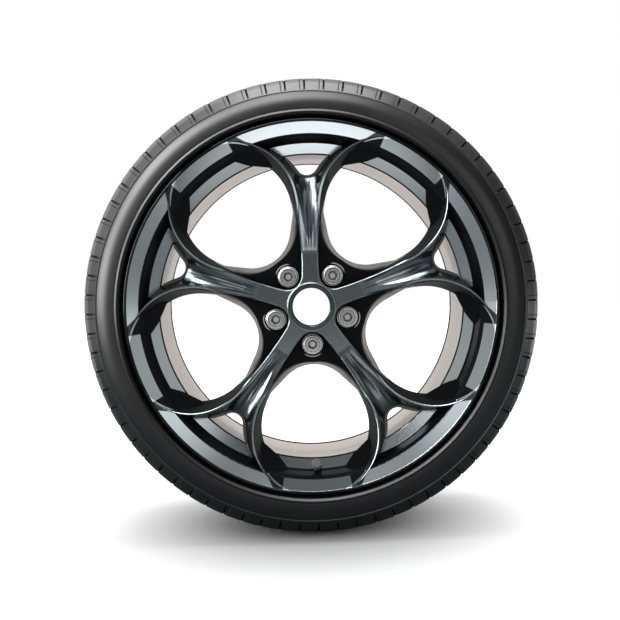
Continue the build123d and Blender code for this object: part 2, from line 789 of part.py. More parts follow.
# Valve stem: flange, boss for the sensor, and the stepped bore for the core
with BuildPart() as valve_stem:
    with BuildSketch(valve_section):
        Polygon(
            (0, boss_foot),
            (boss_radius, boss_foot),
            (boss_radius, flange_foot),
            (stem_flange_radius, flange_foot),
            (stem_flange_radius, grommet_foot),
            (stem_radius, grommet_foot),
            (stem_radius, stem_length - stem_chamfer),
            (stem_radius - stem_chamfer, stem_length),
            (core_bore_radius, stem_length),
            (core_bore_radius, core_seat_height),
            (poppet_bore_radius, core_seat_height),
            (poppet_bore_radius, poppet_bore_foot),
            (air_way_radius, poppet_bore_foot),
            (air_way_radius, flange_foot + air_way_radius),
            (0, flange_foot + air_way_radius),
            align=None,
        )
    revolve(axis=valve_axis)
    with BuildSketch(valve_section):
        with Locations((0, flange_foot + stem_flange_height / 2)):
            Circle(cross_hole_radius)
    extrude(amount=stem_flange_radius, both=True, mode=Mode.SUBTRACT)
    with BuildSketch(valve_plane.offset(boss_foot)):
        Circle(screw_radius + rest_gap)
    extrude(amount=screw_grip + rest_gap, mode=Mode.SUBTRACT)

# Valve core seal: the ring that the poppet closes against
with BuildPart() as valve_core_seal:
    with BuildSketch(valve_plane.offset(core_seat_height + rest_gap)):
        Circle(core_bore_radius - rest_gap)
        Circle(core_seal_bore_radius, mode=Mode.SUBTRACT)
    extrude(amount=core_seal_height)

# Valve core body: a sleeve that guides the pin at its top
guide_radius = pin_radius + pin_guide_clearance
with BuildPart() as valve_core_body:
    with BuildSketch(valve_section):
        Polygon(
            (core_air_radius, core_foot),
            (core_bore_radius - rest_gap, core_foot),
            (core_bore_radius - rest_gap, core_top),
            (guide_radius, core_top),
            (guide_radius, core_top - pin_guide_length),
            (core_air_radius, core_top - pin_guide_length),
            align=None,
        )
    revolve(axis=valve_axis)

# Valve core pin, with the poppet at its foot
with BuildPart() as valve_core_pin:
    with BuildSketch(valve_section):
        Polygon(
            (0, poppet_foot),
            (poppet_radius, poppet_foot),
            (poppet_radius, core_seat_height),
            (pin_radius, core_seat_height),
            (pin_radius, pin_tip),
            (0, pin_tip),
            align=None,
        )
    revolve(axis=valve_axis)

# Valve core spring: a coil between the foot of its bore and the poppet
spring_radius = poppet_radius - spring_wire_radius
spring_foot = poppet_bore_foot + spring_wire_radius + rest_gap
spring_height = poppet_foot - spring_foot - spring_wire_radius - rest_gap
with BuildPart() as valve_core_spring:
    with BuildLine():
        coil = Helix(
            pitch=spring_height / spring_turns,
            height=spring_height,
            radius=spring_radius,
            center=valve_origin + valve_axis_dir * spring_foot,
            direction=valve_axis_dir,
        )
    with BuildSketch(Plane(coil @ 0, z_dir=coil % 0)):
        Circle(spring_wire_radius)
    sweep(is_frenet=True)

# Cap seal: the disc in the roof of the cap
cap_inner_radius = stem_radius + cap_room
with BuildPart() as cap_seal:
    with BuildSketch(valve_plane.offset(cap_seal_foot)):
        Circle(cap_inner_radius - cap_room)
    extrude(amount=cap_seal_height)

# Valve cap: a fluted cup
with BuildPart() as valve_cap:
    with BuildSketch(valve_section):
        Polygon(
            (cap_inner_radius, cap_foot),
            (cap_radius, cap_foot),
            (cap_radius, cap_top),
            (0, cap_top),
            (0, cap_ceiling),
            (cap_inner_radius, cap_ceiling),
            align=None,
        )
    revolve(axis=valve_axis)
    fillet(valve_cap.edges().filter_by(GeomType.CIRCLE).sort_by(valve_axis)[-1], cap_round)
    with BuildSketch(valve_plane.offset(cap_foot)):
        with PolarLocations(cap_radius + flute_radius - flute_depth, flute_count):
            Circle(flute_radius)
    extrude(amount=cap_top - cap_foot - cap_round, mode=Mode.SUBTRACT)

# Pressure sensor: a sealed box behind the stem, with a socket for the stem's boss
with BuildPart() as pressure_sensor:
    with BuildSketch(valve_plane.offset(flange_foot)):
        with Locations((0, -sensor_shift)):
            RectangleRounded(sensor_length, sensor_thickness, sensor_round)
    extrude(amount=-sensor_width)
    sensor_rims = pressure_sensor.faces().sort_by(valve_axis)
    fillet(sensor_rims[0].edges() + sensor_rims[-1].edges(), sensor_edge_round)
    with BuildSketch(valve_plane.offset(flange_foot)):
        Circle(boss_radius + rest_gap)
    extrude(amount=-(boss_length + rest_gap), mode=Mode.SUBTRACT)
    with BuildSketch(valve_plane.offset(flange_foot)):
        Circle(screw_radius + screw_room)
    extrude(amount=-sensor_width, mode=Mode.SUBTRACT)

# Sensor screw
with BuildPart() as sensor_screw:
    with BuildSketch(valve_plane.offset(sensor_back)):
        Circle(screw_head_radius)
    extrude(amount=-screw_head_height)
    with BuildSketch(valve_plane.offset(sensor_back)):
        Circle(screw_radius)
    extrude(amount=boss_foot - sensor_back + screw_grip)
    with BuildSketch(valve_plane.offset(sensor_back - screw_head_height)):
        RegularPolygon(screw_socket_size / 2, 6, major_radius=False)
    extrude(amount=screw_socket_depth, mode=Mode.SUBTRACT)

single_pieces = {
    "alloy_wheel": alloy_wheel.part,
    "tyre": tyre.part,
    "valve_grommet": valve_grommet.part,
    "valve_washer": valve_washer.part,
    "valve_nut": valve_nut.part,
    "valve_stem": valve_stem.part,
    "valve_core_seal": valve_core_seal.part,
    "valve_core_body": valve_core_body.part,
    "valve_core_pin": valve_core_pin.part,
    "valve_core_spring": valve_core_spring.part,
    "cap_seal": cap_seal.part,
    "valve_cap": valve_cap.part,
    "pressure_sensor": pressure_sensor.part,
    "sensor_screw": sensor_screw.part,
}
os.makedirs("parts", exist_ok=True)
for name, piece in single_pieces.items():
    piece.label = name
    export_step(piece, f"parts/{name}.step")
for number, angle in enumerate(hole_angles, start=1):
    bolt = turned(wheel_bolt.part.moved(bolt_place), angle)
    bolt.label = f"wheel_bolt_{number}"
    export_step(bolt, f"parts/wheel_bolt_{number}.step")
    collar = turned(bolt_collar.part.moved(bolt_place), angle)
    collar.label = f"bolt_collar_{number}"
    export_step(collar, f"parts/bolt_collar_{number}.step")
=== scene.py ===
"""Looks of a cast road wheel with its tyre, bolts and valve, in a white studio.

Metres. The spin axis is Y, the outer face looks toward -Y, and +Z is up.
Diffuse light is at a plain level. Gloss sees a dimmer room with strong soft boxes, and the
colours of the metal and the rubber are set to suit that. Some colours also hold painted
highlights, reflections and shade.
"""
from math import cos, pi, radians, sqrt

import bmesh
import bpy
from mathutils import Matrix, Vector


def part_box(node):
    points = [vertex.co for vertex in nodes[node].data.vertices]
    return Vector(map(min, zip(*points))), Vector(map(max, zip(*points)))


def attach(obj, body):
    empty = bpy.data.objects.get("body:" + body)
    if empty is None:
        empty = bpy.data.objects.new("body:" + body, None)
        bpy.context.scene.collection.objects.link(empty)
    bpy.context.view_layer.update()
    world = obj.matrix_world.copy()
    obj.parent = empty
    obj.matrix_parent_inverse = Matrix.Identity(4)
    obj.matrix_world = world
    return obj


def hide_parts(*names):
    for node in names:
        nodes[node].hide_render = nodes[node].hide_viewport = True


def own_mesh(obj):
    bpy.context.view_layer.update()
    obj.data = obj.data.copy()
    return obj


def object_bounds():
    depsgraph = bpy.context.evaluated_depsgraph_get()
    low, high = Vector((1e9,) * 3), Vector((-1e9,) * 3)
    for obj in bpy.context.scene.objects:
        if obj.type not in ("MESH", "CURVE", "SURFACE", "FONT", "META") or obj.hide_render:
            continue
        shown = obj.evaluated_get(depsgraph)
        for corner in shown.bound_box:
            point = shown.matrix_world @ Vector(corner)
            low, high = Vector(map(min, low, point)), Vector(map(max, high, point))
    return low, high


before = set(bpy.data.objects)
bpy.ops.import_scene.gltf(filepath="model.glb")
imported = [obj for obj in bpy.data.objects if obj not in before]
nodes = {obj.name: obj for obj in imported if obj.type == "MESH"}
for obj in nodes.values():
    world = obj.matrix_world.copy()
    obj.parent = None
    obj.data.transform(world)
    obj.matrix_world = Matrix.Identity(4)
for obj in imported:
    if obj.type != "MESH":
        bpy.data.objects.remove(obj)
cad_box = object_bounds()

# Sizes of the wheel that its finishes follow
MM = 0.001
BOLT_COUNT = 5
BOLT_ANGLE = 2 * pi / BOLT_COUNT
BOLT_CIRCLE_RADIUS = 54.0 * MM
RIM_FRONT = -120.25 * MM
LIP_INNER_RADIUS = 239.4 * MM
LIP_OUTER_RADIUS = 254.8 * MM
LIP_DEPTH = 1.6 * MM
LIP_SLOPE = 0.3006
STEP_TOP_RADIUS = 233.5 * MM
STEP_FOOT_RADIUS = 218.5 * MM
STEP_DEPTH = 38.5 * MM
STEP_SLOPE = 0.364
STEP_EDGE = 1.6 * MM
FACE_REACH = 0.6 * MM
EDGE_BLEND = 0.15 * MM
HOLE_PANEL_ANGLE = radians(10.8)
ARM_ANGLE = radians(14.0)
ARM_ANGLE_RATE = radians(0.2) / MM
PANEL_BLEND = radians(0.3)
BARREL_START_DEPTH = 46.0 * MM
BARREL_INNER_RADIUS = 215.5 * MM
BARREL_REAR_DEPTH = 207.0 * MM
HOLE_RADIUS = 86.2 * MM
RIDGE_WIDTH = 2.4 * MM
RIDGE_END_RADIUS = 249.0 * MM
VALLEY_START = 84.0 * MM
VALLEY_END = 170.0 * MM
WEB_DEPTH = 46.0 * MM
WEB_RADIUS = 150.0 * MM
OPENING_CENTRE = 175.0 * MM
OPENING_RADIUS = 82.0 * MM
OPENING_END_CENTRE = 138.5 * MM
OPENING_END_RADIUS = 57.0 * MM
HUB_RING_RADIUS = 34.2 * MM
HUB_RING_DEPTH = 31.6 * MM
HUB_LINE_RADIUS = 32.8 * MM
SEAT_ARC_INNER = 17.6 * MM
SEAT_ARC_OUTER = 18.8 * MM
WALL_FACING = 0.25
FRONT_FACING = 0.60
# width and spread of the painted reflection on the web's edge
WEB_REFLECTION_WIDTH = 1.5 * MM
WEB_REFLECTION_SPREAD = 0.13
WEB_REFLECTION_START = 0.25
SEAT_ARC_START = 0.70
SEAT_ARC_FULL = 0.92

# Soft edges between the finishes
LINE_FADE = 0.3 * MM
FADE = 0.5 * MM
HUB_LINE_FADE = 0.6 * MM
SLIT_FADE = 0.8 * MM
HUB_RING_FADE = 1.0 * MM
BROAD_FADE = 3.0 * MM
WEB_FADE = 5.0 * MM
VALLEY_FADE = 9.0 * MM

# Colours of the wheel
LACQUER_DARK = (0.085, 0.104, 0.112)
LACQUER_LIGHT = (0.120, 0.142, 0.152)
# painted reflection: the spokes' lacquer lighter near the hub
LACQUER_NEAR_HUB_REFLECTION = (0.30, 0.35, 0.365)
# painted shade: the lacquer darker on the rim, also on the lip beside the arms
LACQUER_SHADED_ON_RIM = (0.030, 0.036, 0.040)
# painted reflections: light streaks in the spokes' valleys
VALLEY_DARK = (0.050, 0.062, 0.067)
VALLEY_REFLECTION_LIGHT = (0.320, 0.375, 0.400)
# painted highlights on the holes' front edges, on the hub's ring and its edge line
RIDGE_HIGHLIGHT_COLOUR = (0.42, 0.49, 0.52)
HUB_RING_HIGHLIGHT_COLOUR = (0.17, 0.20, 0.21)
HUB_LINE_HIGHLIGHT_COLOUR = (0.46, 0.52, 0.54)
WALL_BLACK = (0.010, 0.011, 0.012)
# painted highlight on the outer edge of each bolt's seat
SEAT_ARC_HIGHLIGHT_COLOUR = (0.55, 0.61, 0.64)
# painted reflection of the white backdrop on the web's edge
WEB_EDGE_REFLECTION_COLOUR = (0.44, 0.41, 0.39)
PANEL_DARK = (0.56, 0.635, 0.67)
PANEL_LIGHT = (0.70, 0.77, 0.80)
# painted shade: the pale panels darker inside the holes
SHADED_HOLE_PANEL_DARK = (0.240, 0.275, 0.285)
SHADED_HOLE_PANEL_LIGHT = (0.295, 0.330, 0.340)
# the barrel's own light colour, made pale beige also as a painted reflection of the white backdrop
CAST_DARK = (0.86, 0.805, 0.77)
CAST_LIGHT = (0.92, 0.865, 0.83)
# painted shade on the barrel's rear flare
FLARE_SHADE_COLOUR = (0.045, 0.043, 0.042)

# Gloss and fine patterns of the wheel
METAL_LEAST = 0.06
METAL_MOST = 0.95
LACQUER_ROUGHNESS = 0.20
PANEL_ROUGHNESS = 0.15
MATT_ROUGHNESS = 0.55
MOTTLE_ROUGHNESS = 0.06
COAT_SHARE = 0.5
COAT_ROUGHNESS = 0.07
BRUSH_ROUND = 14.0
BRUSH_OUT = 900.0
# streaks of painted reflection in the spokes' valleys
STREAK_ROUND = 38.0
STREAK_OUT = 14.0
STREAK_LOW = 0.36
STREAK_HIGH = 0.62
MOTTLE_SCALE = 900.0

# Rubber of the tyre
RUBBER_DARK = (0.004, 0.004, 0.0042)
RUBBER_LIGHT = (0.007, 0.007, 0.0073)
# painted shade in the shoulders' grooves and slits
SLIT_SHADE_BLACK = (0.001, 0.001, 0.001)
RUBBER_ROUGHNESS = 0.25
CLOUD_ROUGHNESS = 0.10
RING_ROUGHNESS = 0.06
RUBBER_SPECULAR = 0.8
CLOUD_SCALE = 14.0
RUBBER_GRAIN_SCALE = 1400.0
RING_ROUND = 5.0
RING_OUT = 420.0
RING_HEIGHT = 0.6
SLIT_HEIGHT = -12.0

# Plated steel of the bolts
STEEL_DARK = (0.55, 0.545, 0.53)
STEEL_LIGHT = (0.74, 0.735, 0.72)
# painted highlight round the head's rim, painted shade in a line inside it
HEAD_RIM_HIGHLIGHT_COLOUR = (0.95, 0.945, 0.93)
HEAD_LINE_SHADE_COLOUR = (0.16, 0.155, 0.15)
# painted shade inside the sockets, painted highlight spot on their floors
SOCKET_SHADE_COLOUR = (0.12, 0.115, 0.11)
SOCKET_FLOOR_HIGHLIGHT_COLOUR = (0.98, 0.97, 0.95)
STEEL_METAL = 0.75
SOCKET_FLOOR_METAL = 0.1
STEEL_ROUGHNESS = 0.18
STEEL_FINE_ROUGHNESS = 0.14
STEEL_FINE_SCALE = 1600.0
STEEL_STAIN_SCALE = 160.0

# Small pieces: dark colour, light colour and roughness, and their fine patterns
NICKEL = ((0.50, 0.49, 0.45), (0.64, 0.62, 0.57), 0.22)
BRASS = ((0.52, 0.36, 0.13), (0.68, 0.49, 0.20), 0.24)
SPRING_WIRE = ((0.42, 0.42, 0.42), (0.55, 0.55, 0.54), 0.25)
SEAL_RUBBER = ((0.018, 0.018, 0.018), (0.030, 0.030, 0.030), 0.55)
CAP_PLASTIC = ((0.100, 0.118, 0.128), (0.135, 0.155, 0.166), 0.34)
SENSOR_PLASTIC = ((0.020, 0.020, 0.021), (0.034, 0.034, 0.036), 0.50)
TURNED_SCALE = 2400.0
TURNED_ROUGHNESS = 0.1
MOULD_GRAIN_SCALE = 1800.0
MOULD_CLOUD_SCALE = 120.0
MOULD_ROUGHNESS = 0.12

# Sizes of the bolts and of the tyre's tread
HEAD_TOP = -79.95 * MM
HEAD_RIM_RADIUS = 11.0 * MM
HEAD_RIM_FADE = 0.8 * MM
HEAD_LINE_WIDTH = 1.0 * MM
SOCKET_RADIUS = 6.9 * MM
SOCKET_FADE = 0.4 * MM
SOCKET_DARK_START = HEAD_TOP + 0.3 * MM
SOCKET_DARK_FULL = HEAD_TOP + 3.0 * MM
SOCKET_FLOOR = HEAD_TOP + 8.0 * MM
SOCKET_SPOT_INNER = 2.6 * MM
SOCKET_SPOT_OUTER = 5.4 * MM
THREAD_RADIUS = 7.0 * MM
THREAD_ROOT = 6.1 * MM
THREAD_SINK = 0.1 * MM
THREAD_PITCH = 1.5 * MM
THREAD_FILL = 0.9
THREAD_STEPS = 24
THREAD_START = -35.0 * MM
THREAD_END = -10.5 * MM
MERGE_DISTANCE = 0.002 * MM
EDGE_ANGLE = radians(30)
GROOVE_COUNT = 72
GROOVE_ANGLE = 2 * pi / GROOVE_COUNT
SLIT_OFFSET = radians(1.15)
SLIT_HALF_ANGLE = radians(0.13)
GROOVE_HALF_ANGLE = radians(0.25)
SLIT_INNER_RADIUS = 298.0 * MM
SLIT_OUTER_RADIUS = 323.0 * MM
SLIT_BLEND = radians(0.03)

# Studio
FLOOR_HEIGHT = cad_box[0][2]
FLOOR_GLOW = 0.7
# reach of the painted shadow round the wheel, where the floor's white glow fades out
SHADOW_INNER = 0.08
SHADOW_OUTER = 0.44
PLAIN_LEVEL = 0.8
POOL_PLACE = -1.45
POOL_NARROWING = 1.6
POOL_CORE = 0.25
POOL_REACH = 0.75
FLOOR_SIZE = 24
FLOOR_COLOUR = (0.80, 0.80, 0.80)
FLOOR_DIMMED = (0.16, 0.17, 0.18)
FLOOR_ROUGHNESS = 0.9
FLOOR_SPECULAR = 0.1
BACK_FLOOR_START = 0.1
BACK_FLOOR_FULL = 0.8
BACKDROP_START = -0.1
BACKDROP_FULL = 0.5
BACKDROP_LEFT = -0.2
BACKDROP_RIGHT = 0.6
BACKDROP_RIGHT_LEVEL = 0.25
# grey of the room as gloss sees it, from straight down at 0 to straight up at 1
ROOM_GREYS = ((0.0, 0.25), (0.5, 0.09), (0.58, 0.08), (0.72, 0.05), (0.84, 0.20), (1.0, 0.6))
# soft boxes: direction from the wheel, angle of the outer edge and of the full core, strength
SOFT_BOXES = (
    ((-0.83, -0.56, 0.07), 20, 9, 10.0),
    ((-0.585, -0.56, 0.585), 20, 9, 11.0),
    ((-0.08, -0.56, 0.825), 20, 9, 7.0),
    ((-0.62, 0.20, 0.75), 50, 25, 0.8),
    ((0.30, 0.10, 0.95), 45, 20, 0.3),
    ((0.42, -0.89, 0.14), 17, 7, 0.90),
    ((-0.42, -0.89, 0.14), 17, 7, 0.80),
    ((-0.30, -0.90, 0.30), 17, 7, 0.12),
    ((0.0, -0.93, 0.36), 13, 5, 0.26),
)
LAMP_PLACE = (0.0, 0.10, 2.2)
LAMP_WIDTH = 1.6
LAMP_HEIGHT = 1.2
LAMP_POWER = 24.0

# Camera, as in the photo
IMAGE_SIZE = 620
FOCAL_PIXELS = 748.4
SENSOR_WIDTH = 36.0
CAMERA_PLACE = (-0.0055, -1.14695, 0.0235)
CAMERA_TURN = -0.18
CAMERA_TIP = 88.50
CAMERA_ROLL = -1.9


def new_material(name):
    """A node material with its tree and its shader."""
    material = bpy.data.materials.new(name)
    material.use_nodes = True
    tree = material.node_tree
    return material, tree, tree.nodes["Principled BSDF"]


def add_node(tree, kind, **values):
    """A node whose settings and unlinked inputs are given by name."""
    node = tree.nodes.new(kind)
    for key, value in values.items():
        if key in node.inputs:
            node.inputs[key].default_value = value
        else:
            setattr(node, key, value)
    return node


def feed(tree, socket, value):
    """Links a socket to an input, or writes a plain number or colour there."""
    if isinstance(value, (int, float)):
        socket.default_value = value
    elif isinstance(value, tuple):
        socket.default_value = (*value, 1)
    else:
        tree.links.new(value, socket)


def calc(tree, operation, *values, clamp=False):
    """The result of a math node on sockets or numbers."""
    node = add_node(tree, "ShaderNodeMath", operation=operation, use_clamp=clamp)
    for socket, value in zip(node.inputs, values):
        feed(tree, socket, value)
    return node.outputs[0]


def product(tree, *values):
    """Several sockets or numbers multiplied."""
    result = values[0]
    for value in values[1:]:
        result = calc(tree, "MULTIPLY", result, value)
    return result


def rise(tree, value, low, high):
    """A soft step from 0 at low to 1 at high."""
    node = add_node(tree, "ShaderNodeMapRange", interpolation_type="SMOOTHSTEP")
    for name, given in (("Value", value), ("From Min", low), ("From Max", high)):
        feed(tree, node.inputs[name], given)
    return node.outputs["Result"]


def band(tree, value, low, high, soft):
    """1 between low and high, 0 outside, with soft edges."""
    entered = rise(tree, value, low - soft, low + soft)
    left = rise(tree, value, high - soft, high + soft)
    return calc(tree, "SUBTRACT", entered, left)


def opposite(tree, share):
    """One minus a share."""
    return calc(tree, "SUBTRACT", 1.0, share)


def blend(tree, share, first, second):
    """A colour between two colours or sockets."""
    node = add_node(tree, "ShaderNodeMix", data_type="RGBA")
    colours = [socket for socket in node.inputs if socket.type == "RGBA"]
    feed(tree, node.inputs["Factor"], share)
    feed(tree, colours[0], first)
    feed(tree, colours[1], second)
    return next(socket for socket in node.outputs if socket.type == "RGBA")


def between(tree, share, first, second):
    """A number between two numbers."""
    return calc(tree, "MULTIPLY_ADD", share, second - first, first)


def object_place(tree):
    """Coordinates on the object."""
    return add_node(tree, "ShaderNodeTexCoord").outputs["Object"]


def split(tree, vector):
    """The three parts of a vector."""
    node = add_node(tree, "ShaderNodeSeparateXYZ")
    tree.links.new(vector, node.inputs[0])
    return node.outputs


def joined(tree, *parts):
    """A vector from its parts."""
    node = add_node(tree, "ShaderNodeCombineXYZ")
    for socket, part in zip(node.inputs, parts):
        feed(tree, socket, part)
    return node.outputs[0]


def distance(tree, across, along):
    """Length of a flat vector."""
    across_square = calc(tree, "MULTIPLY", across, across)
    along_square = calc(tree, "MULTIPLY", along, along)
    return calc(tree, "SQRT", calc(tree, "ADD", across_square, along_square))


def polar_place(tree):
    """Coordinates, distance from the spin axis, angle about it and place along it."""
    place = object_place(tree)
    across, along, up = split(tree, place)
    return place, distance(tree, across, up), calc(tree, "ARCTAN2", up, across), along


def fold(tree, angle, step, start=0.0):
    """Angle from the nearest of several equal steps round the axis."""
    turns = calc(tree, "DIVIDE", calc(tree, "SUBTRACT", angle, start), step)
    part = calc(tree, "SUBTRACT", turns, calc(tree, "ROUND", turns))
    return calc(tree, "MULTIPLY", part, step)


def noise(tree, vector, scale, detail=2.0, roughness=0.5):
    """The grey value of a noise texture."""
    node = add_node(tree, "ShaderNodeTexNoise", Scale=scale, Detail=detail, Roughness=roughness)
    tree.links.new(vector, node.inputs["Vector"])
    return node.outputs["Fac"]


def ring_place(tree, angle, radius, round_scale, out_scale):
    """Coordinates for a pattern that runs round the axis or out from it."""
    around = calc(tree, "MULTIPLY", angle, round_scale)
    outward = calc(tree, "MULTIPLY", radius, out_scale)
    return joined(tree, around, outward)


def emboss(tree, shader, height, strength, reach):
    """Bump on the shader from a height."""
    node = add_node(tree, "ShaderNodeBump", Strength=strength, Distance=reach)
    tree.links.new(height, node.inputs["Height"])
    tree.links.new(node.outputs["Normal"], shader.inputs["Normal"])


def sloped_face(tree, radius, depth, top_radius, top_depth, slope, inner, outer):
    """1 on a funnel-shaped face of the rim between two radii."""
    line = calc(tree, "MULTIPLY_ADD", calc(tree, "SUBTRACT", top_radius, radius), slope, top_depth)
    behind = calc(tree, "SUBTRACT", depth, line)
    on_face = band(tree, behind, -FACE_REACH, FACE_REACH, EDGE_BLEND)
    return product(tree, on_face, band(tree, radius, inner, outer, EDGE_BLEND))


def sector_place(tree, radius, turn):
    """Flat coordinates in the sector of the nearest bolt: across its middle line and out along it."""
    across = calc(tree, "MULTIPLY", radius, calc(tree, "SINE", turn))
    out = calc(tree, "MULTIPLY", radius, calc(tree, "COSINE", turn))
    return across, out


def from_point(tree, across, out, centre):
    """Distance from a point on the sector's middle line."""
    return distance(tree, across, calc(tree, "SUBTRACT", out, centre))


def rim_panels(tree, radius, depth, turn):
    """1 on the pale panels of the lip and the step, cut short beside the arms inside the holes, where
    the dark lacquer on the rim paints shade instead.
    """
    off_centre = calc(tree, "ABSOLUTE", turn)
    lip = sloped_face(
        tree, radius, depth, LIP_OUTER_RADIUS, LIP_DEPTH, LIP_SLOPE, LIP_INNER_RADIUS, LIP_OUTER_RADIUS
    )
    inward = calc(tree, "SUBTRACT", LIP_OUTER_RADIUS, radius)
    arm = calc(tree, "MULTIPLY_ADD", inward, ARM_ANGLE_RATE, ARM_ANGLE)
    past_panel = rise(tree, off_centre, HOLE_PANEL_ANGLE, HOLE_PANEL_ANGLE + PANEL_BLEND)
    past_arm = rise(tree, calc(tree, "SUBTRACT", off_centre, arm), -PANEL_BLEND, PANEL_BLEND)
    # painted shade: beside the arms the lip takes the dark rim lacquer
    shade_beside_arm = product(tree, past_panel, opposite(tree, past_arm))
    lip = calc(tree, "MULTIPLY", lip, opposite(tree, shade_beside_arm))
    step = sloped_face(
        tree, radius, depth, STEP_TOP_RADIUS, STEP_DEPTH, STEP_SLOPE,
        STEP_FOOT_RADIUS, STEP_TOP_RADIUS - STEP_EDGE,
    )
    return calc(tree, "MAXIMUM", lip, step)


def gunmetal_lacquer():
    """Lacquer on the spokes, pale brushed panels on the rim, black walls and a light cast barrel, with
    painted highlights, reflections and shade in several places.
    """
    material, tree, shader = new_material("gunmetal_lacquer")
    place, radius, angle, along = polar_place(tree)
    depth = calc(tree, "SUBTRACT", along, RIM_FRONT)
    turn = fold(tree, angle, BOLT_ANGLE, -pi / 2)
    across, out = sector_place(tree, radius, turn)
    from_hole = from_point(tree, across, out, OPENING_CENTRE)
    from_end = from_point(tree, across, out, OPENING_END_CENTRE)
    from_bolt = from_point(tree, across, out, BOLT_CIRCLE_RADIUS)
    panel = rim_panels(tree, radius, depth, turn)
    # barrel behind the step: a light colour of its own, pale beige also as a painted reflection of the
    # white backdrop, and painted shade on the rear flare
    deep = rise(tree, depth, BARREL_START_DEPTH, BARREL_START_DEPTH + FADE)
    barrel = product(tree, deep, rise(tree, radius, BARREL_INNER_RADIUS, BARREL_INNER_RADIUS + FADE))
    flare = rise(tree, depth, BARREL_REAR_DEPTH, BARREL_REAR_DEPTH + BROAD_FADE)
    # walls along the axis, the holes' insides and the web round the bolts are black
    normal = add_node(tree, "ShaderNodeNewGeometry").outputs["Normal"]
    facing = rise(tree, calc(tree, "ABSOLUTE", split(tree, normal)[1]), WALL_FACING, FRONT_FACING)
    web = product(
        tree,
        rise(tree, depth, WEB_DEPTH, WEB_DEPTH + BROAD_FADE),
        opposite(tree, rise(tree, radius, WEB_RADIUS, WEB_RADIUS + WEB_FADE)),
    )
    outside_hole = rise(tree, from_hole, HOLE_RADIUS - FADE, HOLE_RADIUS)
    shown = product(tree, facing, opposite(tree, web), outside_hole)
    # painted reflection: the web's edge fades to a pale beige standing for the white backdrop's
    # reflection, wider beside the spokes
    edge = calc(
        tree, "MINIMUM",
        calc(tree, "SUBTRACT", from_hole, OPENING_RADIUS),
        calc(tree, "SUBTRACT", from_end, OPENING_END_RADIUS),
    )
    edge_width = calc(tree, "MULTIPLY_ADD", calc(tree, "ABSOLUTE", across), WEB_REFLECTION_SPREAD, WEB_REFLECTION_WIDTH)
    near_edge = opposite(tree, rise(tree, calc(tree, "DIVIDE", edge, edge_width), WEB_REFLECTION_START, 1.0))
    web_edge_reflection = product(tree, web, near_edge)
    # painted highlights: bright lines on the holes' front edges, the hub's ring and the outer edge of
    # each bolt's seat
    ridge = product(
        tree, shown,
        band(tree, from_hole, HOLE_RADIUS, HOLE_RADIUS + RIDGE_WIDTH, FADE),
        opposite(tree, rise(tree, radius, RIDGE_END_RADIUS, LIP_OUTER_RADIUS)),
    )
    in_front = opposite(tree, rise(tree, depth, HUB_RING_DEPTH, HUB_RING_DEPTH + HUB_RING_FADE))
    past_ring = rise(tree, radius, HUB_RING_RADIUS, HUB_RING_RADIUS + LINE_FADE)
    hub_ring = product(tree, in_front, opposite(tree, past_ring))
    past_line = rise(tree, radius, HUB_LINE_RADIUS, HUB_LINE_RADIUS + HUB_LINE_FADE)
    hub_line_highlight = product(tree, hub_ring, past_line)
    outer_side = calc(tree, "DIVIDE", calc(tree, "SUBTRACT", out, BOLT_CIRCLE_RADIUS), from_bolt)
    seat_arc_highlight = product(
        tree, web,
        band(tree, from_bolt, SEAT_ARC_INNER, SEAT_ARC_OUTER, LINE_FADE),
        rise(tree, outer_side, SEAT_ARC_START, SEAT_ARC_FULL),
    )
    # brushing round the panels, light streaks of painted reflection along the spokes' valleys, a fine
    # mottle over all
    ring_lines = ring_place(tree, angle, radius, BRUSH_ROUND, BRUSH_OUT)
    brushed = noise(tree, ring_lines, 1.0, detail=4.0, roughness=0.65)
    spoke_lines = ring_place(tree, angle, radius, STREAK_ROUND, STREAK_OUT)
    streaks = rise(tree, noise(tree, spoke_lines, 1.0, detail=1.5), STREAK_LOW, STREAK_HIGH)
    mottle = noise(tree, place, MOTTLE_SCALE, detail=3.0)
    valley = product(
        tree,
        band(tree, radius, VALLEY_START, VALLEY_END, VALLEY_FADE),
        rise(tree, from_hole, HOLE_RADIUS + RIDGE_WIDTH, HOLE_RADIUS + 2.5 * RIDGE_WIDTH),
    )
    # painted reflection: the lacquer is lighter near the hub
    near_hub_reflection = opposite(tree, rise(tree, radius, VALLEY_START - VALLEY_FADE, VALLEY_START + VALLEY_FADE))
    # painted shade: the lacquer darker on the rim
    shaded_on_rim = rise(tree, radius, STEP_FOOT_RADIUS - BROAD_FADE, STEP_FOOT_RADIUS + BROAD_FADE)
    flat = blend(tree, mottle, LACQUER_DARK, LACQUER_LIGHT)
    flat = blend(tree, near_hub_reflection, flat, LACQUER_NEAR_HUB_REFLECTION)
    flat = blend(tree, shaded_on_rim, flat, LACQUER_SHADED_ON_RIM)
    valley_with_reflections = blend(tree, streaks, VALLEY_DARK, VALLEY_REFLECTION_LIGHT)
    lacquer = blend(tree, valley, flat, valley_with_reflections)
    # painted highlights on the ridges, the hub's ring and line, and the seats' arcs
    lacquer = blend(tree, ridge, lacquer, RIDGE_HIGHLIGHT_COLOUR)
    lacquer = blend(tree, hub_ring, lacquer, HUB_RING_HIGHLIGHT_COLOUR)
    lacquer = blend(tree, hub_line_highlight, lacquer, HUB_LINE_HIGHLIGHT_COLOUR)
    lacquer = blend(tree, calc(tree, "MAXIMUM", shown, hub_ring), WALL_BLACK, lacquer)
    lacquer = blend(tree, seat_arc_highlight, lacquer, SEAT_ARC_HIGHLIGHT_COLOUR)
    lacquer = blend(tree, web_edge_reflection, lacquer, WEB_EDGE_REFLECTION_COLOUR)
    pale = blend(tree, brushed, PANEL_DARK, PANEL_LIGHT)
